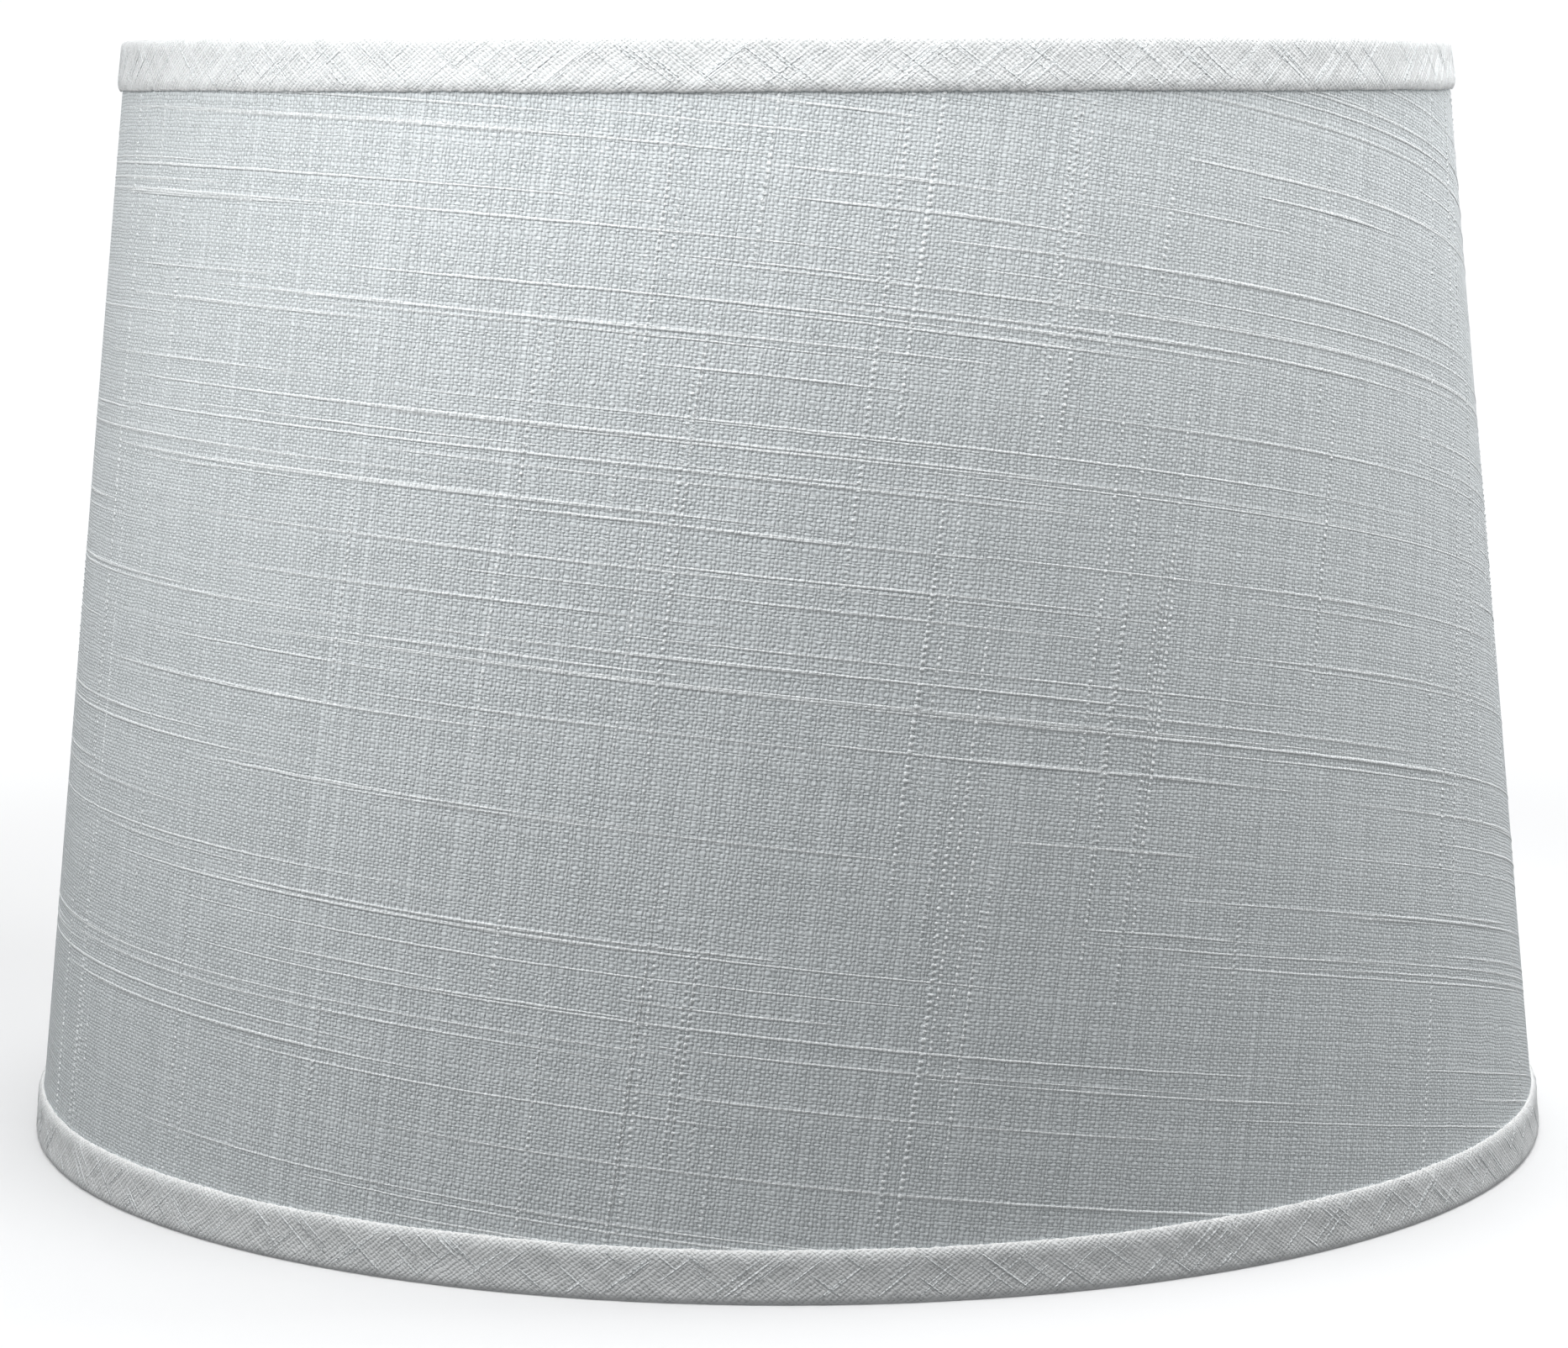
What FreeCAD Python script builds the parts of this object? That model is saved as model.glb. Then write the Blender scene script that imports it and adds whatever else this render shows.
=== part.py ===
"""Hardback lamp shade: a tapered drum, 12 in across the top, 14 in across the bottom and 10 in on the slant.

Cloth bonded to a styrene sheet is rolled into a cone and lapped at the back. A wire ring holds each rim,
a folded bias tape binds each rim over its wire, and a three-armed spider carries the washer that a lamp's
harp goes through. Millimetres, +Z up, the axis on Z, the bottom rim on z = 0, the seam at the back (+Y).
"""

import FreeCAD
import Part

import math
import os

INCH = 25.4

# The cone of the cloth's outer face.
TOP_RADIUS = 12 * INCH / 2
BOTTOM_RADIUS = 14 * INCH / 2
SLANT = 10 * INCH
HEIGHT = math.sqrt(SLANT**2 - (BOTTOM_RADIUS - TOP_RADIUS) ** 2)
TAPER = (BOTTOM_RADIUS - TOP_RADIUS) / HEIGHT

# Sheet materials. Their thicknesses are measured level, within half a percent of square to the cone.
CLOTH = 0.45
STYRENE = 0.5
SHEET = CLOTH + STYRENE
SEAM_TAPE = 0.15
BIAS_TAPE = 1.2
GLUE_LINE = 0.1

# The lap at the back, in degrees round the axis. The sheet's outer end climbs a ramp onto its inner end.
SEAM_ANGLE = 90.0
LAP_ANGLE = 4.4
RAMP_ANGLE = 5.0
RAMP_SECTIONS = 7
LAP_CLIMB = SHEET + SEAM_TAPE
SEAM_TAPE_MARGIN = 0.3

# The bias tape: how far its two legs reach from the rim, and its own lap beside the seam.
OUTER_LEG = 11.0
INNER_LEG = 9.0
TAPE_LAP_START = 100.0
TAPE_LAP_ANGLE = 3.2
TAPE_LAP_RAMP = 0.6

# Wire frame.
WIRE_RADIUS = 1.6
ARM_ANGLES = {"right": 30.0, "left": 150.0, "front": 270.0}
ARM_SHELF = 13.0
ARM_SLOPE = 50.0
ARM_BEND_RADIUS = 5.0
ARM_NOTCH_CLEARANCE = 0.4
ARM_SLIT_WIDTH = 1.6

# Washer at the middle of the spider. Its top face is half an inch below the top rim.
WASHER_RADIUS = 14.0
WASHER_HOLE_RADIUS = 7 / 16 * INCH / 2
WASHER_THICKNESS = 1.6
WASHER_DROP = INCH / 2
WASHER_EDGE_ROUND = 0.4
ARM_END_RADIUS = 8.6
ARM_FLAT_DEPTH = 0.4

ORIGIN = FreeCAD.Vector(0, 0, 0)
UP = FreeCAD.Vector(0, 0, 1)

SHEET_LOW = BIAS_TAPE
SHEET_HIGH = HEIGHT - BIAS_TAPE
SEAM_START = SEAM_ANGLE - LAP_ANGLE / 2
SEAM_END = SEAM_ANGLE + LAP_ANGLE / 2


def cone_radius(z):
    """Radius of the cloth's outer face at height z."""
    return BOTTOM_RADIUS - TAPER * z


def lining_radius(z):
    """Radius of the styrene's inner face at height z."""
    return cone_radius(z) - SHEET


def point_at(radius, z, angle=0.0):
    """Point at a radius and a height, turned round the axis by angle degrees from +X."""
    turn = math.radians(angle)
    return FreeCAD.Vector(radius * math.cos(turn), radius * math.sin(turn), z)


def ring_height(is_top):
    """Height of a ring's centre line, just inside the fold of its bias tape."""
    depth = BIAS_TAPE + WIRE_RADIUS
    return HEIGHT - depth if is_top else depth


def ring_radius(is_top):
    """Radius of a ring's centre line, a line of glue away from the sloping lining."""
    slope_length = math.hypot(1.0, TAPER)
    return lining_radius(ring_height(is_top)) - (WIRE_RADIUS + GLUE_LINE) * slope_length


def smooth_step(share):
    """Rise from 0 to 1 with level ends."""
    return share * share * (3 - 2 * share)


def outline(corners, angle):
    """Closed wire through corners (radius, z), standing in the half plane at angle."""
    points = [point_at(radius, z, angle) for radius, z in corners]
    return Part.makePolygon(points + points[:1])


def turned(corners, start, sweep):
    """Solid made by turning corners (radius, z) round the axis, from start through sweep degrees."""
    return Part.Face(outline(corners, start)).revolve(ORIGIN, UP, sweep)


def climbing(corners_at, start, sweep):
    """Solid from start through sweep degrees whose corners follow corners_at(share), share from 0 to 1."""
    shares = [step / (RAMP_SECTIONS - 1) for step in range(RAMP_SECTIONS)]
    wires = [outline(corners_at(share), start + share * sweep) for share in shares]
    return Part.makeLoft(wires, True, True)


def one_solid(shape):
    """The single solid that a boolean result holds."""
    solids = shape.Solids
    if len(solids) != 1:
        raise ValueError(f"expected one solid, found {len(solids)}")
    return solids[0]


def largest_solid(shape):
    """The body of a cut piece, without the crumbs that fall off it."""
    return max(shape.Solids, key=lambda solid: solid.Volume)


def ply(inner_depth, outer_depth):
    """One layer of the rolled sheet, between two depths under the cloth's face, lapped at the back."""

    def corners(climb):
        return [
            (cone_radius(SHEET_LOW) - inner_depth + climb, SHEET_LOW),
            (cone_radius(SHEET_LOW) - outer_depth + climb, SHEET_LOW),
            (cone_radius(SHEET_HIGH) - outer_depth + climb, SHEET_HIGH),
            (cone_radius(SHEET_HIGH) - inner_depth + climb, SHEET_HIGH),
        ]

    def corners_on_ramp(share):
        return corners(LAP_CLIMB * smooth_step(share))

    wall = turned(corners(0.0), SEAM_START, 360.0 - RAMP_ANGLE)
    ramp = climbing(corners_on_ramp, SEAM_START - RAMP_ANGLE, RAMP_ANGLE)
    lap = turned(corners(LAP_CLIMB), SEAM_START, LAP_ANGLE)
    return one_solid(wall.fuse([ramp, lap]))


def seam_tape():
    """Double-sided tape in the lap, between the cloth below and the styrene above."""
    corners = [
        (cone_radius(SHEET_LOW), SHEET_LOW),
        (cone_radius(SHEET_LOW) + SEAM_TAPE, SHEET_LOW),
        (cone_radius(SHEET_HIGH) + SEAM_TAPE, SHEET_HIGH),
        (cone_radius(SHEET_HIGH), SHEET_HIGH),
    ]
    return turned(corners, SEAM_START + SEAM_TAPE_MARGIN, LAP_ANGLE - 2 * SEAM_TAPE_MARGIN)


def ring(is_top):
    """Wire ring inside a rim."""
    centre = FreeCAD.Vector(0, 0, ring_height(is_top))
    return Part.makeTorus(ring_radius(is_top), WIRE_RADIUS, centre, UP)


def arc(start, middle, end):
    """Arc edge through three points."""
    return Part.Arc(start, middle, end).toShape()


def tape_envelope(is_top):
    """Bias tape as a full turn round its wire, before the sheet and the arms are taken out of it."""
    inward = -1 if is_top else 1
    rim = HEIGHT if is_top else 0.0
    roll = WIRE_RADIUS + BIAS_TAPE
    wire_in = BIAS_TAPE + WIRE_RADIUS
    half_turn = math.sqrt(0.5)
    wire_radius = ring_radius(is_top)

    def level(depth):
        return rim + inward * depth

    def at(radius, depth):
        return point_at(radius, level(depth))

    outer_end = cone_radius(level(OUTER_LEG))
    shoulder = cone_radius(level(BIAS_TAPE))
    leave_radius = wire_radius - roll * half_turn
    leave_depth = wire_in + roll * half_turn
    slope = -inward * TAPER
    gap = lining_radius(level(leave_depth)) - BIAS_TAPE - leave_radius
    run = gap / (1 - slope)
    land_radius = leave_radius + run
    land_depth = leave_depth + run
    inner_end = lining_radius(level(INNER_LEG))

    edges = [
        Part.makeLine(at(outer_end, OUTER_LEG), at(outer_end + BIAS_TAPE, OUTER_LEG)),
        Part.makeLine(at(outer_end + BIAS_TAPE, OUTER_LEG), at(shoulder + BIAS_TAPE, BIAS_TAPE)),
        arc(
            at(shoulder + BIAS_TAPE, BIAS_TAPE),
            at(shoulder + BIAS_TAPE * half_turn, BIAS_TAPE * (1 - half_turn)),
            at(shoulder, 0.0),
        ),
        Part.makeLine(at(shoulder, 0.0), at(wire_radius, 0.0)),
        arc(at(wire_radius, 0.0), at(wire_radius - roll, wire_in), at(leave_radius, leave_depth)),
        Part.makeLine(at(leave_radius, leave_depth), at(land_radius, land_depth)),
        Part.makeLine(at(land_radius, land_depth), at(inner_end - BIAS_TAPE, INNER_LEG)),
        Part.makeLine(at(inner_end - BIAS_TAPE, INNER_LEG), at(inner_end, INNER_LEG)),
        Part.makeLine(at(inner_end, INNER_LEG), at(outer_end, OUTER_LEG)),
    ]
    wire = Part.makeCircle(WIRE_RADIUS, at(wire_radius, wire_in), FreeCAD.Vector(0, 1, 0))
    face = Part.Face(Part.Wire(edges)).cut(Part.Face(Part.Wire(wire)))
    return face.Faces[0].revolve(ORIGIN, UP, 360.0)


def tape_leg(is_top, climb):
    """Corners of the tape's outer leg where it is lifted by climb, from inside the cloth outwards."""
    inward = -1 if is_top else 1
    rim = HEIGHT if is_top else 0.0
    near = rim + inward * BIAS_TAPE
    far = rim + inward * OUTER_LEG
    return [
        (cone_radius(near) - CLOTH, near),
        (cone_radius(near) + BIAS_TAPE + climb, near),
        (cone_radius(far) + BIAS_TAPE + climb, far),
        (cone_radius(far) - CLOTH, far),
    ]


def raised_leg(is_top, start, sweep, climb, ramp_in, ramp_out):
    """Part of the outer leg that stands out by climb from start through sweep, with a ramp at each end."""

    def rising(share):
        return tape_leg(is_top, climb * smooth_step(share))

    def falling(share):
        return tape_leg(is_top, climb * smooth_step(1 - share))

    flat = turned(tape_leg(is_top, climb), start, sweep)
    up = climbing(rising, start - ramp_in, ramp_in)
    down = climbing(falling, start + sweep, ramp_out)
    return flat.fuse([up, down])


def arm_height():
    """Height of an arm's centre line under the washer, with its top flattened against it."""
    return HEIGHT - WASHER_DROP - WASHER_THICKNESS - WIRE_RADIUS + ARM_FLAT_DEPTH


def arm_path():
    """Centre line of one arm along +X: in from the ring, down a slope and in under the washer."""
    high = ring_height(True)
    low = arm_height()
    start = ring_radius(True)
    shelf_end = start - ARM_SHELF
    slope = math.radians(ARM_SLOPE)
    slope_end = shelf_end - (high - low) / math.tan(slope)
    tangent = ARM_BEND_RADIUS * math.tan(slope / 2)

    def bend(corner, before, after):
        """First, middle and last point of the arc that rounds a corner of the path."""
        first = corner + before * tangent
        last = corner + after * tangent
        towards = (before + after).normalize()
        reach = ARM_BEND_RADIUS / math.cos(slope / 2) - ARM_BEND_RADIUS
        return first, corner + towards * reach, last

    outward = FreeCAD.Vector(1, 0, 0)
    inward = FreeCAD.Vector(-1, 0, 0)
    down = FreeCAD.Vector(-math.cos(slope), 0, -math.sin(slope))
    up = FreeCAD.Vector(math.cos(slope), 0, math.sin(slope))
    upper = bend(FreeCAD.Vector(shelf_end, 0, high), outward, down)
    lower = bend(FreeCAD.Vector(slope_end, 0, low), up, inward)
    ring_end = FreeCAD.Vector(start, 0, high)
    washer_end = FreeCAD.Vector(ARM_END_RADIUS, 0, low)
    return Part.Wire(
        [
            Part.makeLine(ring_end, upper[0]),
            arc(*upper),
            Part.makeLine(upper[2], lower[0]),
            arc(*lower),
            Part.makeLine(lower[2], washer_end),
        ]
    )


def spider_arm(angle):
    """One wire arm, saddle-cut at the ring and flattened where it is welded under the washer."""
    path = arm_path()
    start = path.Vertexes[0].Point
    section = Part.Wire(Part.makeCircle(WIRE_RADIUS, start, FreeCAD.Vector(-1, 0, 0)))
    arm = path.makePipeShell([section], True, False)
    washer_underside = HEIGHT - WASHER_DROP - WASHER_THICKNESS
    flat_size = 4 * WASHER_RADIUS
    corner = FreeCAD.Vector(-flat_size / 2, -flat_size / 2, washer_underside)
    press = Part.makeBox(flat_size, flat_size, WIRE_RADIUS, corner)
    arm = largest_solid(arm.cut([ring(True), press]))
    arm.rotate(ORIGIN, UP, angle)
    return arm


def arm_notch(angle):
    """Room for an arm where it leaves the top tape, with the slit that the tape is snipped with below it."""
    radius = WIRE_RADIUS + ARM_NOTCH_CLEARANCE
    start = FreeCAD.Vector(ring_radius(True), 0, ring_height(True))
    reach = WIRE_RADIUS + 2 * BIAS_TAPE
    hole = Part.makeCylinder(radius, reach, start, FreeCAD.Vector(-1, 0, 0))
    slit_top = ring_height(True)
    slit_low = HEIGHT - INNER_LEG - BIAS_TAPE
    slit_outer = lining_radius(slit_low)
    slit_inner = ring_radius(True) - reach
    slit = Part.makeBox(
        slit_outer - slit_inner,
        ARM_SLIT_WIDTH,
        slit_top - slit_low,
        FreeCAD.Vector(slit_inner, -ARM_SLIT_WIDTH / 2, slit_low),
    )
    notch = hole.fuse(slit)
    notch.rotate(ORIGIN, UP, angle)
    return notch


def trim(is_top, taken_out):
    """Bias tape on one rim, lifted over the sheet's seam and lapped on itself beside it."""
    over_seam = raised_leg(is_top, SEAM_START, LAP_ANGLE, LAP_CLIMB, RAMP_ANGLE, RAMP_ANGLE)
    own_lap = raised_leg(
        is_top, TAPE_LAP_START, TAPE_LAP_ANGLE, BIAS_TAPE, TAPE_LAP_RAMP, TAPE_LAP_RAMP
    )
    tape = tape_envelope(is_top).fuse([over_seam, own_lap])
    return largest_solid(tape.cut(taken_out))


def spider_washer():
    """Washer that sits on the harp, with a hole for the harp's stud and softened outer edges."""
    underside = HEIGHT - WASHER_DROP - WASHER_THICKNESS
    base = FreeCAD.Vector(0, 0, underside)
    disc = Part.makeCylinder(WASHER_RADIUS, WASHER_THICKNESS, base, UP)
    rims = [edge for edge in disc.Edges if edge.Curve.TypeId == "Part::GeomCircle"]
    disc = disc.makeFillet(WASHER_EDGE_ROUND, rims)
    hole = Part.makeCylinder(WASHER_HOLE_RADIUS, WASHER_THICKNESS, base, UP)
    return one_solid(disc.cut(hole))


def build():
    """Every node of the shade, by name."""
    nodes = {
        "fabric_cover": ply(CLOTH, 0.0),
        "styrene_lining": ply(SHEET, CLOTH),
        "seam_tape": seam_tape(),
        "top_ring": ring(True),
        "bottom_ring": ring(False),
        "spider_washer": spider_washer(),
    }
    for side, angle in ARM_ANGLES.items():
        nodes[f"spider_arm_{side}"] = spider_arm(angle)
    sheet = [nodes["fabric_cover"], nodes["styrene_lining"], nodes["seam_tape"]]
    notches = [arm_notch(angle) for angle in ARM_ANGLES.values()]
    nodes["top_trim"] = trim(True, sheet + notches)
    nodes["bottom_trim"] = trim(False, sheet)
    return nodes


def main():
    os.makedirs("parts", exist_ok=True)
    for name, shape in build().items():
        box = shape.optimalBoundingBox()
        print(
            f"{name}: valid {shape.isValid()}, volume {shape.Volume:.1f},"
            f" x {box.XMin:.2f} to {box.XMax:.2f}, y {box.YMin:.2f} to {box.YMax:.2f},"
            f" z {box.ZMin:.2f} to {box.ZMax:.2f}"
        )
        shape.exportStep(f"parts/{name}.step")


main()
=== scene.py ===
"""Looks of the hardback lamp shade: slub linen on styrene, bias-tape rims and a wire spider.

Metres, in the CAD model's own frame. The shade stands on z = 0 with its axis on Z and its seam at +Y.
"""

import math

import bpy
import numpy as np
from mathutils import Matrix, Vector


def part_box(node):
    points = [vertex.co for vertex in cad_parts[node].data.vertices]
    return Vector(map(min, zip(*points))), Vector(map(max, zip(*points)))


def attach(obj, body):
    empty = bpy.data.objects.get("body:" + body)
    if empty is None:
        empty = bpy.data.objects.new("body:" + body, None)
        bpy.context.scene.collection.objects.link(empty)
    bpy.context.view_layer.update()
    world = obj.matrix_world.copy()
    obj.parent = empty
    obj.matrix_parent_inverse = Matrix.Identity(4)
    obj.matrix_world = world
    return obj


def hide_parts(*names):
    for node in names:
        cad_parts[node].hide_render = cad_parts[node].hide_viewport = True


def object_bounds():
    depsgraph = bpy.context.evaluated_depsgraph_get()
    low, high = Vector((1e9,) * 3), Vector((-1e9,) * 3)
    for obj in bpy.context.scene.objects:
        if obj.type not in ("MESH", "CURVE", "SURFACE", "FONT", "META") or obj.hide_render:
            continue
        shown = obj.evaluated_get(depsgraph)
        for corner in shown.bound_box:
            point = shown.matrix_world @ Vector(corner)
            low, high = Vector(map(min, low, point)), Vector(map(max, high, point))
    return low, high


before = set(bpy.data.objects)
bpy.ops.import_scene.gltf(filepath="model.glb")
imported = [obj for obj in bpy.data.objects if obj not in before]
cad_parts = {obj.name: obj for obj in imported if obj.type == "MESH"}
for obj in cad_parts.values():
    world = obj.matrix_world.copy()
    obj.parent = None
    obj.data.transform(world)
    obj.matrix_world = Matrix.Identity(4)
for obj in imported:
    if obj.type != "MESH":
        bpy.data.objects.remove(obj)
cad_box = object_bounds()

MM = 0.001

# The cone of the cloth's outer face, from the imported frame: 12 in and 14 in across, 10 in on the slant.
HEIGHT = cad_box[1][2]
TOP_RADIUS = 152.4 * MM
BOTTOM_RADIUS = 177.8 * MM
TAPER = (BOTTOM_RADIUS - TOP_RADIUS) / HEIGHT
SLANT_PER_HEIGHT = math.hypot(1.0, TAPER)
CONE_SINE = TAPER / SLANT_PER_HEIGHT
FLAT_BOTTOM_RADIUS = BOTTOM_RADIUS / CONE_SINE

# Sheet materials.
CLOTH = 0.45 * MM
STYRENE = 0.5 * MM
SHEET = CLOTH + STYRENE
SEAM_TAPE = 0.15 * MM
BIAS_TAPE = 1.2 * MM
GLUE_LINE = 0.1 * MM

# Waves in the rolled sheet: cycles in a full turn, change of phase per metre of height, phase, size.
SHEET_WAVES = (
    (3, 9.0, 0.0, 0.05 * MM),
    (5, -14.0, 1.3, 0.035 * MM),
    (11, 21.0, 0.4, 0.025 * MM),
    (17, -33.0, 2.1, 0.0175 * MM),
)

# The lap at the back, in degrees round the axis from +X.
SEAM_ANGLE = 90.0
LAP_ANGLE = 4.4
RAMP_ANGLE = 5.0
LAP_CLIMB = SHEET + SEAM_TAPE
SEAM_START = SEAM_ANGLE - LAP_ANGLE / 2
SEAM_END = SEAM_ANGLE + LAP_ANGLE / 2

# Wire frame, with each arm's direction in degrees, and the welds under the washer.
WIRE_RADIUS = 1.6 * MM
ARM_ANGLES = {"right": 30.0, "left": 150.0, "front": 270.0}
WELD_SIDES = 14
WELD_RINGS = 7
WELD_RADIUS = 10.2 * MM
WELD_OFFSET = WIRE_RADIUS - 0.25 * MM
WELD_SINK = 0.35 * MM
WELD_BUMPS = 0.12
WELD_STRETCH = 2.1
WELD_FLATNESS = 0.9
WIRE_OFFSET = -(SHEET + GLUE_LINE + WIRE_RADIUS)
WIRE_NODES = ["top_ring", "bottom_ring", "spider_washer"] + [f"spider_arm_{name}" for name in ARM_ANGLES]

# Bias tapes. Their laps, like the seam, are measured in degrees round the axis from +X.
OUTER_LEG = 11.0 * MM
INNER_LEG = 9.0 * MM
TAPE_ROLL = WIRE_RADIUS + BIAS_TAPE
TAPE_LAP_END = 103.2
TAPE_LAP_RISE = 5.0
TAPE_LAP_FALL = 0.5
TAPE_LAP_HEIGHT = 0.9 * MM
TAPE_LAP_SLANT = 1.6
TAPE_SEAM_FALL = 1.6
TAPE_COLUMNS = 1440

# The tape's outline in mm: outward from the cloth's face, and depth from the rim. The inner leg's first
# number is outward from the lining's inner face.
TAPE_FOLD = [(0.02, 10.5), (0.05, 10.9), (0.24, 11.08), (0.5, 11.04), (0.78, 10.74)]
TAPE_FACE = [
    (1.02, 10.28),
    (1.2, 9.7),
    (1.27, 9.0),
    (1.27, 8.3),
    (1.22, 7.4),
    (1.16, 6.2),
    (1.14, 4.8),
    (1.16, 3.4),
    (1.18, 2.3),
    (1.16, 1.5),
    (1.05, 0.85),
]
TAPE_RIM = [(0.82, 0.42), (0.48, 0.14), (0.05, 0.02), (-0.5, 0.06), (-1.1, 0.12), (-1.8, 0.04)]
TAPE_INNER_LEG = [(-1.05, 7.0), (-1.0, 8.3), (-0.85, 8.85), (-0.45, 9.0), (-0.05, 8.8)]

# How unevenly the tapes lie. A wave is its cycles in a full turn and its size.
TAPE_PUFFS = ((23, 0.05 * MM), (41, 0.05 * MM), (67, 0.04 * MM))
TAPE_EDGE_WAVES = ((5, 0.09 * MM), (13, 0.07 * MM), (29, 0.04 * MM))
TUCK_HEIGHT, TUCK_CYCLES, TUCK_PER_METRE = 0.035 * MM, 140, 900.0
EDGE_REACH = 2.2 * MM
YARN_END_SIZE, YARN_END_REACH = 0.08 * MM, 1.6 * MM
# Painted highlight: a pale line along each tape's folded edge, at this depth from the rim and this wide.
FOLD_HIGHLIGHT_DEPTH, FOLD_HIGHLIGHT_WIDTH = 11.1 * MM, 0.6 * MM

# The top tape's inner leg, puckered round each arm and slit below it.
COLLAR_HEIGHT, COLLAR_WIDTH = 0.45 * MM, 1.1 * MM
SLIT_AT_RIM, SLIT_SPREAD = 0.385 * MM, 0.275 * MM
SLIT_EDGE, SLIT_RISE = 0.6 * MM, 1.5 * MM
GLUED_FLAT = -SHEET - 0.12 * MM

# Weave, measured on the flat cloth. Angles are how far the grain is turned at the front of the shade.
WARP_PITCH = 0.91 * MM
WEFT_PITCH = 0.755 * MM
WARP_LEAN = math.radians(8.2)
WEFT_LEAN = math.radians(6.2)
BIAS_WARP_TURN = math.radians(52.0)
BIAS_WEFT_TURN = math.radians(38.0)

# How uneven the yarns lie: shifts in yarn widths, and the scale of the noise behind each.
SPACING_SHIFT, SPACING_SCALE, SPACING_ALONG = 1.5, 0.45, 0.012
WANDER_SHIFT, WANDER_SCALE = 1.1, 0.11
WOBBLE_SHIFT, WOBBLE_SCALE = 0.55, 0.42

# Heights in the weave: a yarn's roundness, the levels that it weaves between, and its unevenness.
YARN_ROUNDNESS = 0.28
WEFT_LEVEL = 0.17
WARP_SWING = -0.08
YARN_THICKNESS = 0.94
OWN_THICKNESS = 0.15
LUMP_THICKNESS = 0.45
SLUB_THICKNESS = 0.5
CROSSING_LEAST, CROSSING_SPREAD = 0.88, 0.24
FLUFF_HEIGHT, FLUFF_SCALE = 0.3, 3.1
WEAVE_RELIEF = 0.48 * MM

# Slow changes in the weave, as scales of noise per yarn along a yarn, and between one yarn and the next.
# The spans are the noise values where a slub begins and where it is full.
WEFT_SLUB_ALONG, WEFT_SLUB_APART, WEFT_SLUB_SPAN = 0.018, 7.31, (0.60, 0.74)
WARP_SLUB_ALONG, WARP_SLUB_APART, WARP_SLUB_SPAN = 0.022, 5.17, (0.64, 0.78)
LUMP_ALONG, LUMP_APART = 0.17, 3.71
STREAK_ALONG, STREAK_APART = 0.02, 0.5
CLOUD_SCALE = 0.045

# Tones in the weave: how much each kind of unevenness lightens or darkens it.
STREAK_TONE = 0.18
CLOUD_TONE = 0.07
SLUB_TONE = 0.12
PALE_YARN_POWER, PALE_YARN_MEAN = 4.0, 0.4
# Where the colour runs from the gaps' painted shade to the yarns' tops, as values of the tone.
GAP_TO_YARN = (0.06, 0.62)

# Colours from the gaps between the yarns to the yarns' tops. The colour follows the weave's height, so the
# dark end is painted shade in the gaps.
COVER_COLOURS = (0.18, 0.204, 0.214, 1), (0.83, 0.877, 0.895, 1)
TAPE_COLOURS = (0.37, 0.39, 0.392, 1), (0.865, 0.885, 0.89, 1)
SLUB_COLOURS = (0.68, 0.715, 0.73, 1), (0.93, 0.965, 0.975, 1)
# Painted highlight laid pale along the tapes' folded edges, and how strongly it is laid on.
FOLD_HIGHLIGHT_COLOUR = (0.975, 0.98, 0.975, 1)
FOLD_HIGHLIGHT_SHARE = 0.85
NICKEL_COLOUR = (0.70, 0.68, 0.64)

# Sheet meshes, and the cloth's size as it was cut.
COVER_COLUMNS = 661
COVER_ROWS = 75
LINING_COLUMNS = 541
LINING_ROWS = 31

# Slubs, which are thick stretches of single yarns. Weft slubs are ridges, warp slubs are rows of beads.
# Many warp slubs gather in clusters, whose places and spread are in degrees. Lifts are shares of width.
SLUB_MARGIN = OUTER_LEG * 0.6
SLUB_FIRST = math.radians(SEAM_START + 1.0)
SLUB_LAST = math.radians(SEAM_START + 354.0)
SLUB_CLUSTERS = (20.0, 118.0, 205.0, 262.0, 280.0, 293.0, 338.0)
CLUSTER_SHARE = 0.6
CLUSTER_SPREAD = 3.5
SHORT_SLUBS = 1.6
THIN_SLUBS = 1.8
WEFT_SLUBS, WEFT_SLUB_LENGTHS, WEFT_SLUB_WIDTHS = 300, (50 * MM, 300 * MM), (0.5 * MM, 0.9 * MM)
WARP_SLUBS, WARP_SLUB_LENGTHS, WARP_SLUB_WIDTHS = 160, (20 * MM, 130 * MM), (0.9 * MM, 1.3 * MM)
RIDGE_SIDES = 7
RIDGE_RING_SPACING = 3.2 * MM
RIDGE_LEAST_RINGS = 5
RIDGE_LIFT = 0.15
RIDGE_LUMPS = 0.2
RIDGE_DRIFT = 0.12 * MM
RIDGE_TIP = 0.1
BEAD_SIDES = 6
BEAD_SPACING = 2 * WEFT_PITCH
BEAD_LENGTH = 0.75 * WEFT_PITCH
BEAD_LIFT = 0.2
BEAD_SINK = 0.06 * MM
BEAD_JITTER = 0.08 * MM
BEAD_SWAY, BEAD_SWAY_LENGTH = 0.1 * MM, 9 * MM
LEAST_BEADS = 3
TAPE_SLUBS = 700
TAPE_SLUB_SIDES = 5
TAPE_SLUB_RINGS = 9
TAPE_SLUB_TIP = 0.25
TAPE_SLUB_START = 1.2 * MM
TAPE_SLUB_REACH = 8.9 * MM
TAPE_SLUB_WIDTHS = (0.34 * MM, 0.62 * MM)
TAPE_SLUB_LEAST = 0.3

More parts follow.
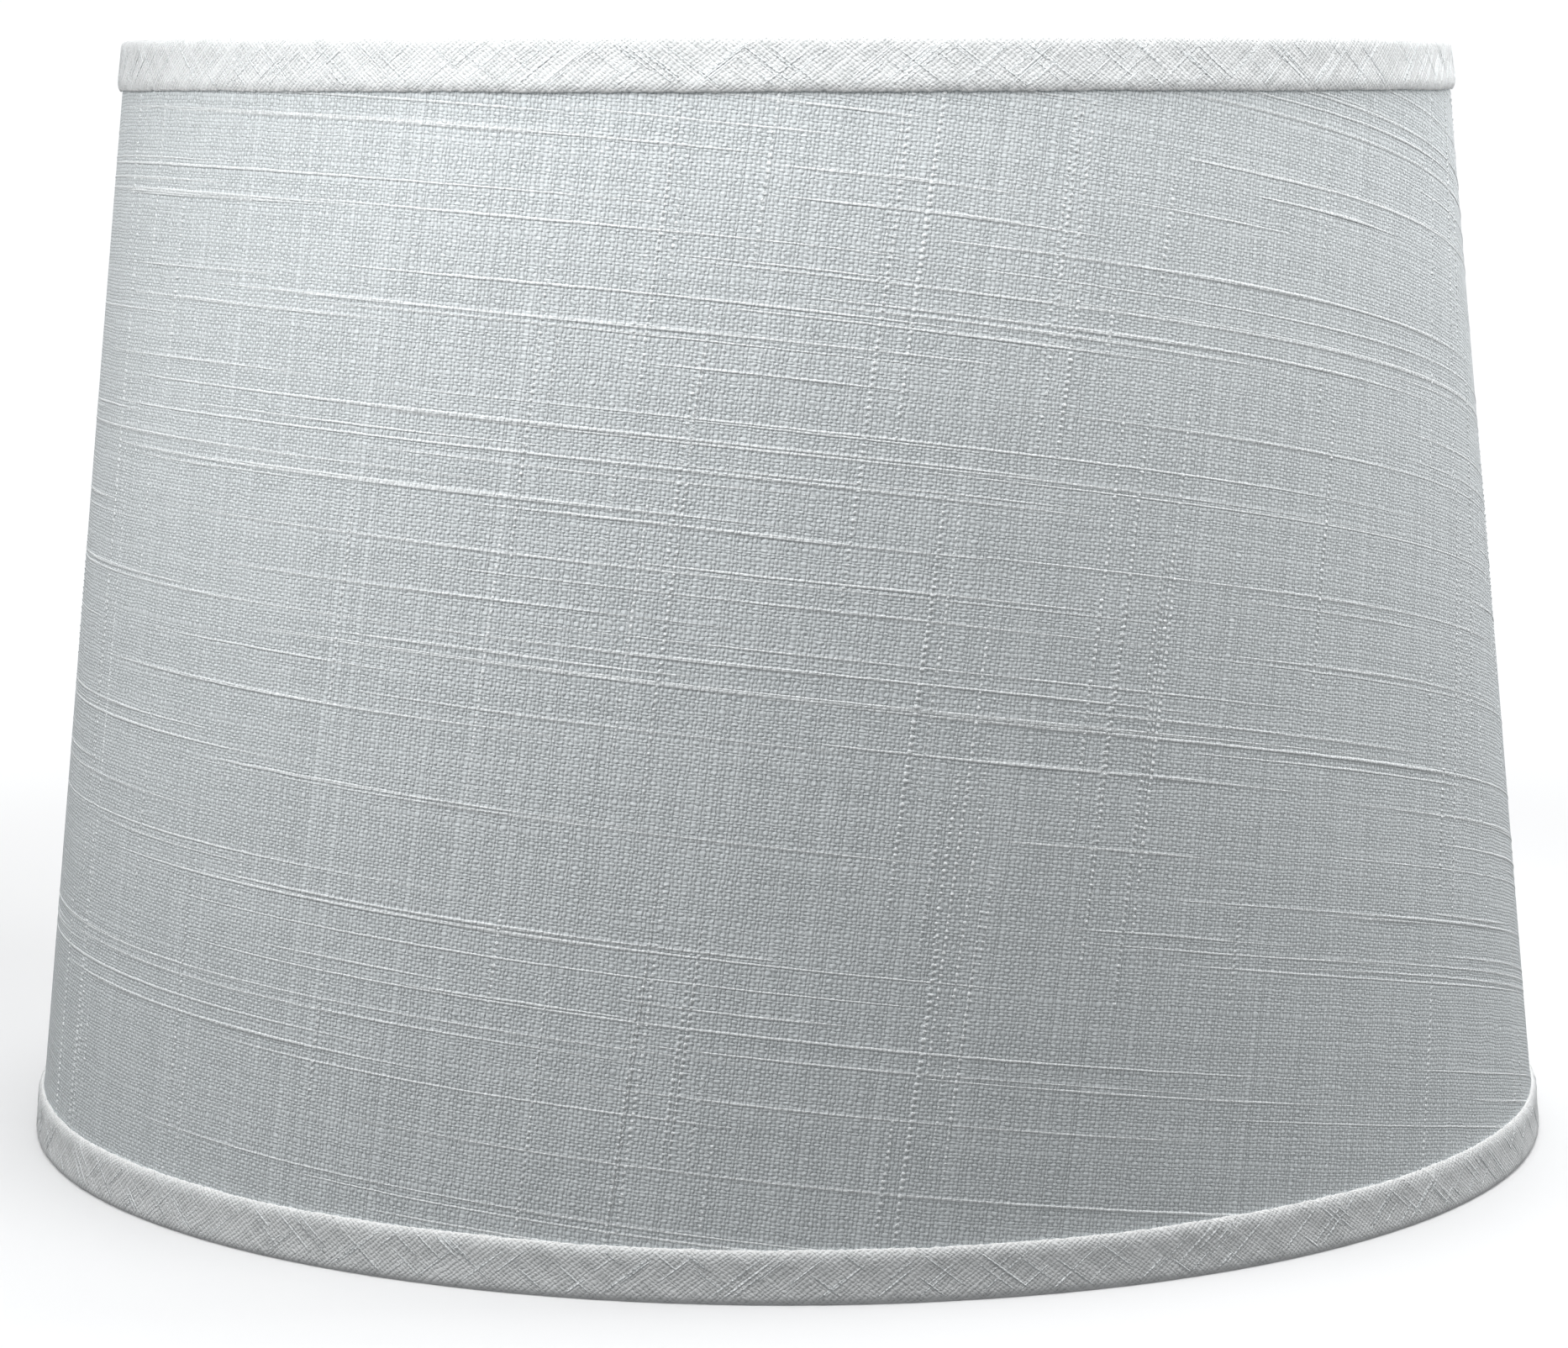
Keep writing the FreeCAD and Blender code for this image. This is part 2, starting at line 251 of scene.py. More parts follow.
# Camera, lamps and walls. A lamp is its name, place, target, width, height and power.
CAMERA_PLACE = (-0.0007, -1.030, HEIGHT - 0.0077)
CAMERA_TILT = math.radians(90.0 - 7.82)
CAMERA_ROLL = math.radians(-0.08)
CAMERA_LENS = 100.2
SENSOR_WIDTH = 36.0
LAMPS = (
    ("front_strip", (-0.05, -0.24, 0.33), (-0.05, -0.20, 0.0), 0.6, 0.12, 0.58),
    ("front_left_patch", (-0.3, -0.24, 0.34), (-0.2, -0.18, 0.0), 0.3, 0.2, 0.43),
    ("left_strip", (-0.36, 0.0, 0.42), (-0.2, 0.0, 0.0), 0.25, 0.6, 0.23),
    ("right_strip", (0.36, 0.0, 0.42), (0.2, 0.0, 0.0), 0.25, 0.6, 1.52),
    ("back_strip", (0.0, 0.36, 0.42), (0.0, 0.2, 0.0), 0.6, 0.25, 1.25),
)
SKY_STRENGTH = 0.9
SKY_ANGLE = math.radians(25.0)
SEEN_WALL = 1.03
WALL_LIGHT = 0.265
WALL_COLOUR = (0.985, 0.992, 1.0, 1.0)
GLOW_REACH = (0.24, 0.62)
FLOOR_HALF_SIZE = 30.0

FRONT = math.radians(270.0)
random = np.random.default_rng(12)


# ---------------------------------------------------------------- shape of the sheet


def cone_radius(z):
    """Radius of the cloth's outer face at height z."""
    return BOTTOM_RADIUS - TAPER * z


def smooth_step(share):
    """Rise from 0 to 1 with level ends, for numbers and arrays."""
    share = np.clip(share, 0.0, 1.0)
    return share * share * (3 - 2 * share)


def closeness(distance, reach):
    """1 at no distance, falling to 0 over about reach."""
    return np.exp(-((distance / reach) ** 2))


def sheet_waves(turn, z):
    """Slight unevenness of the rolled sheet, as a radial distance. It repeats every full turn."""
    total = 0.0
    for cycles, per_metre, start, size in SHEET_WAVES:
        total = total + size * np.sin(cycles * turn + per_metre * z + start)
    return total


def sheet_climb(degrees):
    """How far the sheet has climbed onto its own start, by degrees travelled from that start."""
    return LAP_CLIMB * smooth_step((degrees - (360.0 - RAMP_ANGLE)) / RAMP_ANGLE)


def on_cone(radius, turn, z):
    """Points from cylindrical coordinates, as rows of x, y, z."""
    return np.stack([radius * np.cos(turn), radius * np.sin(turn), z + 0.0 * turn], axis=-1)


def flat_point(turn, z):
    """Place of a cone point on the flat cloth, with the front's middle straight below the origin."""
    flat_radius = FLAT_BOTTOM_RADIUS - z * SLANT_PER_HEIGHT
    flat_turn = (turn - FRONT) * CONE_SINE
    return np.stack([flat_radius * np.sin(flat_turn), -flat_radius * np.cos(flat_turn)], axis=-1)


def cone_point(flat, lift):
    """Turn, height and radius of flat cloth points, lifted off the cone by lift."""
    flat_radius = np.hypot(flat[..., 0], flat[..., 1])
    turn = np.arctan2(flat[..., 0], -flat[..., 1]) / CONE_SINE + FRONT
    z = (FLAT_BOTTOM_RADIUS - flat_radius) / SLANT_PER_HEIGHT
    return turn, z, cone_radius(z) + lift


# ---------------------------------------------------------------- meshes


def new_piece(name, points, faces, material, cloth=None, fold=None):
    """A smooth-shaded object from points and faces.

    cloth gives the place on the flat cloth of each point, or of each corner of each face in turn.
    fold says how near each point is to a sharp fold, from 0 to 1.
    """
    mesh = bpy.data.meshes.new(name)
    mesh.from_pydata(np.asarray(points).tolist(), [], faces)
    mesh.polygons.foreach_set("use_smooth", [True] * len(mesh.polygons))
    if cloth is not None:
        domain = "POINT" if len(cloth) == len(points) else "CORNER"
        attribute = mesh.attributes.new("cloth", "FLOAT_VECTOR", domain)
        flat = np.zeros((len(cloth), 3))
        flat[:, :2] = cloth
        attribute.data.foreach_set("vector", flat.ravel())
    if fold is not None:
        mesh.attributes.new("fold", "FLOAT", "POINT").data.foreach_set("value", fold)
    mesh.materials.append(material)
    mesh.update()
    piece = bpy.data.objects.new(name, mesh)
    bpy.context.scene.collection.objects.link(piece)
    return piece


def grid_faces(columns, rows, start=0, flip=False):
    """Quads of a grid of columns by rows points, counted row by row within each column."""
    first = start + (np.arange(columns - 1)[:, None] * rows + np.arange(rows - 1)[None, :]).ravel()
    corners = [first, first + rows, first + rows + 1, first + 1]
    if flip:
        corners.reverse()
    return np.stack(corners, axis=-1).tolist()


def tube_faces(rings, sides, start=0):
    """Quads of a tube of rings with that many sides each, counted ring by ring, and a face on each end."""
    ring = np.arange(rings - 1)[:, None] * sides + start
    side = np.arange(sides)[None, :]
    after = (side + 1) % sides
    corners = [ring + side, ring + after, ring + sides + after, ring + sides + side]
    faces = np.stack([c.ravel() for c in np.broadcast_arrays(*corners)], axis=-1).tolist()
    faces.append(list(range(start + sides - 1, start - 1, -1)))
    last = start + (rings - 1) * sides
    faces.append(list(range(last, last + sides)))
    return faces


def rolled_sheet(name, outer_depth, inner_depth, columns, rows, material):
    """A closed sheet rolled round the cone with its lap, between two depths under the cloth's face."""
    travel = np.linspace(0.0, 360.0 + LAP_ANGLE, columns)
    turn = np.radians(SEAM_START + travel)[:, None]
    climb = sheet_climb(travel)[:, None]
    heights = np.linspace(BIAS_TAPE, HEIGHT - BIAS_TAPE, rows)[None, :]

    def face(depth, z):
        radius = cone_radius(z) + climb - depth + sheet_waves(turn, z)
        return on_cone(radius, turn + 0.0 * z, z).reshape(-1, 3), flat_point(turn, z).reshape(-1, 2)

    outer, outer_flat = face(outer_depth, heights)
    inner, inner_flat = face(inner_depth, heights)
    count = columns * rows
    faces = grid_faces(columns, rows) + grid_faces(columns, rows, count, flip=True)
    for edge in (0, rows - 1):
        near = np.arange(columns - 1) * rows + edge
        strip = [near, near + rows, near + rows + count, near + count]
        if edge == 0:
            strip.reverse()
        faces += np.stack(strip, axis=-1).tolist()
    for edge in (0, (columns - 1) * rows):
        near = edge + np.arange(rows - 1)
        strip = [near, near + 1, near + 1 + count, near + count]
        if edge:
            strip.reverse()
        faces += np.stack(strip, axis=-1).tolist()
    points = np.concatenate([outer, inner])
    return new_piece(name, points, faces, material, np.concatenate([outer_flat, inner_flat]))


# ---------------------------------------------------------------- materials


class Nodes:
    """Short names for adding nodes to one node tree."""

    def __init__(self, tree):
        self.tree = tree

    def add(self, kind, inputs=None, **settings):
        """A node with its settings and its inputs, each a value or another node's output."""
        node = self.tree.nodes.new(kind)
        for key, value in settings.items():
            setattr(node, key, value)
        for key, value in (inputs or {}).items():
            if isinstance(value, bpy.types.NodeSocket):
                self.tree.links.new(value, node.inputs[key])
            else:
                node.inputs[key].default_value = value
        return node

    def math(self, operation, first, second=0.0, third=0.0, clamp=False):
        """Output of a Math node."""
        values = {0: first, 1: second, 2: third}
        return self.add("ShaderNodeMath", values, operation=operation, use_clamp=clamp).outputs[0]

    def vector(self, x, y, z=0.0):
        """Output of a Combine XYZ node."""
        return self.add("ShaderNodeCombineXYZ", {"X": x, "Y": y, "Z": z}).outputs[0]

    def noise(self, vector, scale, detail=2.0, roughness=0.5):
        """Value of a noise texture, from 0 to 1."""
        values = {"Vector": vector, "Scale": scale, "Detail": detail, "Roughness": roughness}
        return self.add("ShaderNodeTexNoise", values).outputs["Fac"]

    def ramp(self, value, low, high, to_low=0.0, to_high=1.0):
        """A smooth clamped change from to_low at low to to_high at high."""
        values = {"Value": value, "From Min": low, "From Max": high, "To Min": to_low, "To Max": to_high}
        return self.add("ShaderNodeMapRange", values, interpolation_type="SMOOTHSTEP").outputs["Result"]

    def mix(self, share, first, second):
        """Colour between two colours."""
        values = {0: share, 6: first, 7: second}
        return self.add("ShaderNodeMix", values, data_type="RGBA").outputs[2]


def plain_weave_group():
    """Node group: plain weave seen at a point of the flat cloth. It gives its height, and its tone with
    painted shade where it is low.
    """
    tree = bpy.data.node_groups.new("plain_weave", "ShaderNodeTree")
    names = {
        "Cloth": "NodeSocketVector",
        "Warp turn": "NodeSocketFloat",
        "Weft turn": "NodeSocketFloat",
        "Slubs": "NodeSocketFloat",
        "Streaks": "NodeSocketFloat",
        "Weft swing": "NodeSocketFloat",
        "Warp level": "NodeSocketFloat",
    }
    for name, kind in names.items():
        tree.interface.new_socket(name, in_out="INPUT", socket_type=kind)
    for name in ("Height", "Tone"):
        tree.interface.new_socket(name, in_out="OUTPUT", socket_type="NodeSocketFloat")
    n = Nodes(tree)
    given = n.add("NodeGroupInput").outputs
    place = n.add("ShaderNodeSeparateXYZ", {0: given["Cloth"]}).outputs
    x, y = place["X"], place["Y"]

    def yarn_count(turn, pitch, is_warp):
        """How many yarns of one set lie between the origin and this point, with that set turned by turn."""
        cosine = n.math("COSINE", turn)
        sine = n.math("SINE", turn)
        if is_warp:
            length = n.math("SUBTRACT", n.math("MULTIPLY", x, cosine), n.math("MULTIPLY", y, sine))
        else:
            length = n.math("ADD", n.math("MULTIPLY", x, sine), n.math("MULTIPLY", y, cosine))
        return n.math("DIVIDE", length, pitch)

    warp_count = yarn_count(given["Warp turn"], WARP_PITCH, True)
    weft_count = yarn_count(given["Weft turn"], WEFT_PITCH, False)

    def uneven(count, along, across, seed):
        """A yarn count with its yarns spaced unevenly and wandering a little along their length."""
        far_along = n.math("MULTIPLY", along, SPACING_ALONG)
        spacing = n.noise(n.vector(far_along, across, seed), SPACING_SCALE)
        wander = n.noise(n.vector(along, across, seed + 2.0), WANDER_SCALE)
        wobble = n.noise(n.vector(along, across, seed + 4.0), WOBBLE_SCALE, detail=1.0)
        shift = n.math("MULTIPLY_ADD", spacing, SPACING_SHIFT, n.math("MULTIPLY", wander, WANDER_SHIFT))
        return n.math("ADD", count, n.math("MULTIPLY_ADD", wobble, WOBBLE_SHIFT, shift))

    warp = uneven(warp_count, weft_count, warp_count, 7.0)
    weft = uneven(weft_count, warp_count, weft_count, 3.0)

    warp_yarn = n.math("FLOOR", warp)
    weft_yarn = n.math("FLOOR", weft)
    warp_off = n.math("SUBTRACT", n.math("SUBTRACT", warp, warp_yarn), 0.5)
    weft_off = n.math("SUBTRACT", n.math("SUBTRACT", weft, weft_yarn), 0.5)

    def crown(offset):
        """Height across a yarn: 1 in its middle, 0 at its edges."""
        return n.math("COSINE", n.math("MULTIPLY", offset, math.pi))

    def yarn_surface(offset, yarn, along, swing, level):
        """Height of a yarn that goes over and under the yarns that cross it in turn."""
        side = n.math("SINE", n.math("MULTIPLY", n.math("ADD", yarn, 0.5), math.pi))
        weaving = n.math("MULTIPLY", n.math("SINE", n.math("MULTIPLY", along, math.pi)), side)
        top = n.math("MULTIPLY_ADD", weaving, swing, level)
        return n.math("MULTIPLY_ADD", crown(offset), YARN_ROUNDNESS, top)

    def scaled(x_value, x_scale, y_value, y_scale, seed):
        """A place in a noise texture, stretched differently in its two directions."""
        return n.vector(n.math("MULTIPLY", x_value, x_scale), n.math("MULTIPLY", y_value, y_scale), seed)

    along_weft = scaled(warp, WEFT_SLUB_ALONG, weft_yarn, WEFT_SLUB_APART, 1.0)
    along_warp = scaled(warp_yarn, WARP_SLUB_APART, weft, WARP_SLUB_ALONG, 5.0)
    slub_weft = n.ramp(n.noise(along_weft, 1.0, detail=1.0), *WEFT_SLUB_SPAN)
    slub_warp = n.ramp(n.noise(along_warp, 1.0, detail=1.0), *WARP_SLUB_SPAN)
    slub_weft = n.math("MULTIPLY", slub_weft, given["Slubs"])
    slub_warp = n.math("MULTIPLY", slub_warp, given["Slubs"])

    def own_share(yarn):
        """A number from 0 to 1 that each yarn has of its own."""
        node = n.add("ShaderNodeTexWhiteNoise", {"W": yarn}, noise_dimensions="1D")
        return node.outputs["Value"]

    def yarn_size(yarn, along, slub):
        """How thick a yarn is: its own thickness, uneven along it, and more in its slubs."""
        lumps = n.noise(scaled(along, LUMP_ALONG, yarn, LUMP_APART, 9.0), 1.0)
        lumps = n.math("SUBTRACT", lumps, 0.5)
        size = n.math("MULTIPLY_ADD", own_share(yarn), OWN_THICKNESS, YARN_THICKNESS)
        size = n.math("MULTIPLY_ADD", lumps, LUMP_THICKNESS, size)
        return n.math("MULTIPLY_ADD", slub, SLUB_THICKNESS, size)

    crossing = n.vector(warp_yarn, weft_yarn)
    own_crossing = n.add("ShaderNodeTexWhiteNoise", {"Vector": crossing}, noise_dimensions="2D")
    fullness = n.math("MULTIPLY_ADD", own_crossing.outputs["Value"], CROSSING_SPREAD, CROSSING_LEAST)
    weft_surface = yarn_surface(weft_off, weft_yarn, warp, given["Weft swing"], WEFT_LEVEL)
    warp_surface = yarn_surface(warp_off, warp_yarn, weft, WARP_SWING, given["Warp level"])
    weft_height = n.math("MULTIPLY", weft_surface, yarn_size(weft_yarn, warp, slub_weft))
    warp_height = n.math("MULTIPLY", warp_surface, yarn_size(warp_yarn, weft, slub_warp))
    height = n.math("MULTIPLY", n.math("MAXIMUM", weft_height, warp_height), fullness)
    fluff = n.noise(n.vector(warp, weft), FLUFF_SCALE)
    height = n.math("MULTIPLY_ADD", fluff, FLUFF_HEIGHT, height)

    streak = n.noise(scaled(warp, STREAK_ALONG, weft, STREAK_APART, 2.0), 1.0, detail=3.0)
    cloud = n.noise(n.vector(warp, weft, 4.0), CLOUD_SCALE)
    pale_weft = n.math("POWER", own_share(weft_yarn), PALE_YARN_POWER)
    pale_warp = n.math("POWER", own_share(warp_yarn), PALE_YARN_POWER)
    pale = n.math("SUBTRACT", n.math("ADD", pale_weft, pale_warp), PALE_YARN_MEAN)
    # The tone starts from the weave's height: painted shade in the gaps, paler on the yarns' crowns.
    tone = n.math("MULTIPLY_ADD", n.math("SUBTRACT", streak, 0.5), STREAK_TONE, height)
    tone = n.math("MULTIPLY_ADD", pale, given["Streaks"], tone)
    tone = n.math("MULTIPLY_ADD", n.math("SUBTRACT", cloud, 0.5), CLOUD_TONE, tone)
    tone = n.math("MULTIPLY_ADD", n.math("ADD", slub_weft, slub_warp), SLUB_TONE, tone)
    n.add("NodeGroupOutput", {"Height": height, "Tone": tone})
    return tree


def new_material(name):
    """A material with an empty Principled shader, its node helper and that shader."""
    material = bpy.data.materials.new(name)
    material.use_nodes = True
    n = Nodes(material.node_tree)
    return material, n, material.node_tree.nodes["Principled BSDF"]


def bump(n, height, distance, strength=1.0):
    """Normal of a bump map whose height of 1 stands for distance in metres."""
    values = {"Height": height, "Distance": distance, "Strength": strength}
    return n.add("ShaderNodeBump", values).outputs["Normal"]


def linen(name, turns, colours, slubs=0.0, streaks=0.0, weft_swing=0.46, warp_level=0.04):
    """Bleached slub linen, with its weave laid along the flat cloth, from its gaps' painted shade to its
    yarns' colour.

    turns are the warp's and the weft's. The "fold" attribute, where a piece has one, says where a pale
    painted highlight lies along a sharp fold.
    """
    material, n, shader = new_material(name)
    values = {
        "Cloth": n.add("ShaderNodeAttribute", attribute_name="cloth").outputs["Vector"],
        "Warp turn": turns[0],
        "Weft turn": turns[1],
        "Slubs": slubs,
        "Streaks": streaks,
        "Weft swing": weft_swing,
        "Warp level": warp_level,
    }
    group = n.add("ShaderNodeGroup", values, node_tree=weave)
    # Painted shade: the colour darkens where the weave is low.
    share = n.ramp(group.outputs["Tone"], *GAP_TO_YARN)
    fold = n.add("ShaderNodeAttribute", attribute_name="fold").outputs["Fac"]
    # Painted highlight: the colour turns pale along the tapes' folded edges.
    highlighted_colour = n.mix(n.math("MULTIPLY", fold, FOLD_HIGHLIGHT_SHARE), n.mix(share, *colours), FOLD_HIGHLIGHT_COLOUR)
    links = n.tree.links
    links.new(highlighted_colour, shader.inputs["Base Color"])
    links.new(n.ramp(group.outputs["Height"], 0.2, 1.0, 0.95, 0.72), shader.inputs["Roughness"])
    links.new(bump(n, group.outputs["Height"], WEAVE_RELIEF), shader.inputs["Normal"])
    shader.inputs["Sheen Weight"].default_value = 0.15
    shader.inputs["Sheen Roughness"].default_value = 0.6
    shader.inputs["Specular IOR Level"].default_value = 0.25
    return material


def styrene(name):
    """White styrene sheet: smooth, faintly mottled, with light handling scuffs."""
    material, n, shader = new_material(name)
    place = n.add("ShaderNodeTexCoord").outputs["Object"]
    mottle = n.noise(place, 34.0, detail=4.0)
    fine = n.noise(place, 900.0, detail=3.0)
    links = n.tree.links
    links.new(
        n.mix(n.ramp(mottle, 0.3, 0.7), (0.86, 0.865, 0.85, 1), (0.905, 0.905, 0.895, 1)),
        shader.inputs["Base Color"],
    )
    links.new(n.ramp(mottle, 0.25, 0.75, 0.34, 0.46), shader.inputs["Roughness"])
    links.new(bump(n, n.math("ADD", fine, mottle), 0.03 * MM, 0.6), shader.inputs["Normal"])
    shader.inputs["Coat Weight"].default_value = 0.08
    return material


def nickel(name, tint):
    """Dull nickel plate on drawn wire, a little cloudy."""
    material, n, shader = new_material(name)
    place = n.add("ShaderNodeTexCoord").outputs["Object"]
    cloudy = n.noise(place, 180.0, detail=3.0)
    grain = n.noise(place, 1500.0)
    dark = tuple(c * 0.95 for c in tint) + (1,)
    links = n.tree.links
    links.new(n.mix(n.ramp(cloudy, 0.3, 0.7), dark, tint + (1,)), shader.inputs["Base Color"])
    links.new(n.ramp(cloudy, 0.25, 0.75, 0.26, 0.33), shader.inputs["Roughness"])
    links.new(bump(n, grain, 0.002 * MM, 0.4), shader.inputs["Normal"])
    shader.inputs["Metallic"].default_value = 1.0
    return material


weave = plain_weave_group()
COVER_TURNS = (WARP_LEAN, WEFT_LEAN)
BIAS_TURNS = (BIAS_WARP_TURN, BIAS_WEFT_TURN)
cover_linen = linen("cover_linen", COVER_TURNS, COVER_COLOURS, slubs=0.6, streaks=0.06)
slub_linen = linen("slub_linen", COVER_TURNS, SLUB_COLOURS)
bias_linen = linen(
    "bias_linen", BIAS_TURNS, TAPE_COLOURS, slubs=0.8, streaks=0.3, weft_swing=0.16, warp_level=0.2
)
bias_slub_linen = linen("bias_slub_linen", BIAS_TURNS, SLUB_COLOURS)
white_styrene = styrene("white_styrene")
nickel_wire = nickel("nickel_wire", NICKEL_COLOUR)

# ---------------------------------------------------------------- cover, lining and slub yarns

cover = rolled_sheet("linen_cover", 0.0, CLOTH, COVER_COLUMNS, COVER_ROWS, cover_linen)
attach(cover, "root")
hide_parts("fabric_cover")

lining = rolled_sheet("styrene_sheet", CLOTH, SHEET, LINING_COLUMNS, LINING_ROWS, white_styrene)
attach(lining, "root")
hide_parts("styrene_lining")


def clear_of_edges(turns, heights):
    """Which points of a slub are on open cloth, away from the tapes and the seam."""
    inside = (heights > SLUB_MARGIN) & (heights < HEIGHT - SLUB_MARGIN)
    return inside & (turns > SLUB_FIRST) & (turns < SLUB_LAST)


def slub_piece(name, parts, material):
    """One piece of separate slubs, each given as points, places on the flat cloth and faces from 0."""
    points, cloth, faces = [], [], []
    start = 0
    for part_points, part_cloth, part_faces in parts:
        points.append(part_points)
        cloth.append(part_cloth)
        faces += [[start + corner for corner in face] for face in part_faces]
        start += len(part_points)
    piece = new_piece(name, np.concatenate(points), faces, material, np.concatenate(cloth))
    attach(piece, "root")
    return piece


def rounded_ends(count):
    """Share of full thickness at count places along a slub: 0 at its ends, 1 in its middle."""
    return np.sqrt(np.abs(np.sin(np.linspace(0.0, math.pi, count))))


def weft_ridge(length, width):
    """A thick stretch of weft as a tapered ridge, half sunk in the cloth. Nothing where it has no room."""
    rings = max(RIDGE_LEAST_RINGS + 1, int(length / RIDGE_RING_SPACING))
    around = np.linspace(0.0, 2 * math.pi, RIDGE_SIDES, endpoint=False)
    along_yarn = np.array([math.cos(WEFT_LEAN), -math.sin(WEFT_LEAN)])
    across_yarn = np.array([math.sin(WEFT_LEAN), math.cos(WEFT_LEAN)])
    turn = random.uniform(SLUB_FIRST, SLUB_LAST)
    z = random.uniform(SLUB_MARGIN, HEIGHT - SLUB_MARGIN)
    lumps = np.sin(np.linspace(0, random.uniform(5, 20), rings) + random.uniform(0, 6))
    lumps = 1 + RIDGE_LUMPS * lumps
    taper = RIDGE_TIP + (1 - RIDGE_TIP) * lumps * rounded_ends(rings)
    drift = RIDGE_DRIFT * np.sin(np.linspace(0, random.uniform(2, 8), rings) + random.uniform(0, 6))
    along = np.linspace(-length / 2, length / 2, rings)
    centre = flat_point(turn, z) + along[:, None] * along_yarn + drift[:, None] * across_yarn
    across = taper[:, None] * width / 2 * np.cos(around)[None, :]
    lift = taper[:, None] * width * RIDGE_LIFT * np.sin(around)[None, :]
    flat = centre[:, None, :] + across[:, :, None] * across_yarn
    turns, heights, radii = cone_point(flat, lift)
    kept = np.flatnonzero(clear_of_edges(turns, heights).all(axis=1))
    if len(kept) < RIDGE_LEAST_RINGS:
        return None
    kept = np.arange(kept[0], kept[-1] + 1)
    radii = radii + sheet_waves(turns, heights)
    points = on_cone(radii, turns, heights)[kept].reshape(-1, 3)
    return points, flat[kept].reshape(-1, 2), tube_faces(len(kept), RIDGE_SIDES)


def warp_beads(length, width):
    """A thick stretch of warp as a row of beads, one where it crosses over each second weft."""
    around = np.linspace(0.0, 2 * math.pi, BEAD_SIDES, endpoint=False)
    along_yarn = np.array([math.sin(WARP_LEAN), math.cos(WARP_LEAN)])
    across_yarn = np.array([math.cos(WARP_LEAN), -math.sin(WARP_LEAN)])
    if random.uniform() < CLUSTER_SHARE:
        turn = math.radians(random.choice(SLUB_CLUSTERS) + random.normal(0.0, CLUSTER_SPREAD))
    else:
        turn = random.uniform(SLUB_FIRST, SLUB_LAST)
    if turn < SLUB_FIRST:
        turn += 2 * math.pi
    z = random.uniform(SLUB_MARGIN, HEIGHT - SLUB_MARGIN)
    count = max(LEAST_BEADS, int(length / BEAD_SPACING))
    sizes = 0.6 + 0.4 * np.sin(np.linspace(0.2, math.pi - 0.2, count)) + random.normal(0.0, 0.1, count)
    along = (np.arange(count) - count / 2) * BEAD_SPACING + random.normal(0.0, BEAD_JITTER, count)
    sideways = BEAD_SWAY * np.sin(along / BEAD_SWAY_LENGTH) + random.normal(0.0, BEAD_SWAY / 2, count)
    bead = [(1.0, -BEAD_SINK), (0.72, 0.6 * width * BEAD_LIFT), (0.25, width * BEAD_LIFT)]
    shares = np.array([share for share, _ in bead])[:, None]
    lifts = np.array([lift for _, lift in bead])[:, None] + 0.0 * around[None, :]
    centre = flat_point(turn, z) + along[:, None] * along_yarn + sideways[:, None] * across_yarn
    ring_across = shares * (width / 2 * np.cos(around))[None, :]
    ring_along = shares * (BEAD_LENGTH * np.sin(around))[None, :]
    ring = ring_across[:, :, None] * across_yarn + ring_along[:, :, None] * along_yarn
    flat = centre[:, None, None, :] + sizes[:, None, None, None] * ring[None]
    turns, heights, radii = cone_point(flat, sizes[:, None, None] * lifts[None])
    kept = np.flatnonzero(clear_of_edges(turns, heights).all(axis=(1, 2)))
    if len(kept) < LEAST_BEADS:
        return None
    radii = radii + sheet_waves(turns, heights)
    faces = []
    for bead_index in range(len(kept)):
        faces += tube_faces(len(bead), BEAD_SIDES, bead_index * len(bead) * BEAD_SIDES)
    return on_cone(radii, turns, heights)[kept].reshape(-1, 3), flat[kept].reshape(-1, 2), faces


def slubs(name, count, make, lengths, widths):
    """A piece of count slubs, mostly short and thin ones."""
    parts = []
    for _ in range(count):
        length = lengths[0] + (lengths[1] - lengths[0]) * random.uniform() ** SHORT_SLUBS
        width = widths[0] + (widths[1] - widths[0]) * random.uniform() ** THIN_SLUBS
        part = make(length, width)
        if part is not None:
            parts.append(part)
    return slub_piece(name, parts, slub_linen)


weft_slubs = slubs("weft_slubs", WEFT_SLUBS, weft_ridge, WEFT_SLUB_LENGTHS, WEFT_SLUB_WIDTHS)
warp_slubs = slubs("warp_slubs", WARP_SLUBS, warp_beads, WARP_SLUB_LENGTHS, WARP_SLUB_WIDTHS)

# ---------------------------------------------------------------- bias tapes


def tape_profile():
    """Outline of a folded tape, as rows of outward from the cloth's face and depth from the rim.

    It starts inside the outer leg's fold and goes round the fold, up the leg, over the rim and the wire,
    down the inner leg and back along the sheet.
    """
    outline = [(out * MM, depth * MM) for out, depth in TAPE_FOLD + TAPE_FACE + TAPE_RIM]
    for turn in np.radians(np.linspace(100.0, 225.0, 9)):
        outline.append((WIRE_OFFSET + TAPE_ROLL * math.cos(turn), TAPE_ROLL - TAPE_ROLL * math.sin(turn)))
    outline += [(-SHEET + out * MM, depth * MM) for out, depth in TAPE_INNER_LEG]
    outline += [(-SHEET, 5.0 * MM), (-SHEET, BIAS_TAPE), (0.0, BIAS_TAPE), (0.0, 5.0 * MM)]
    return np.array(outline)


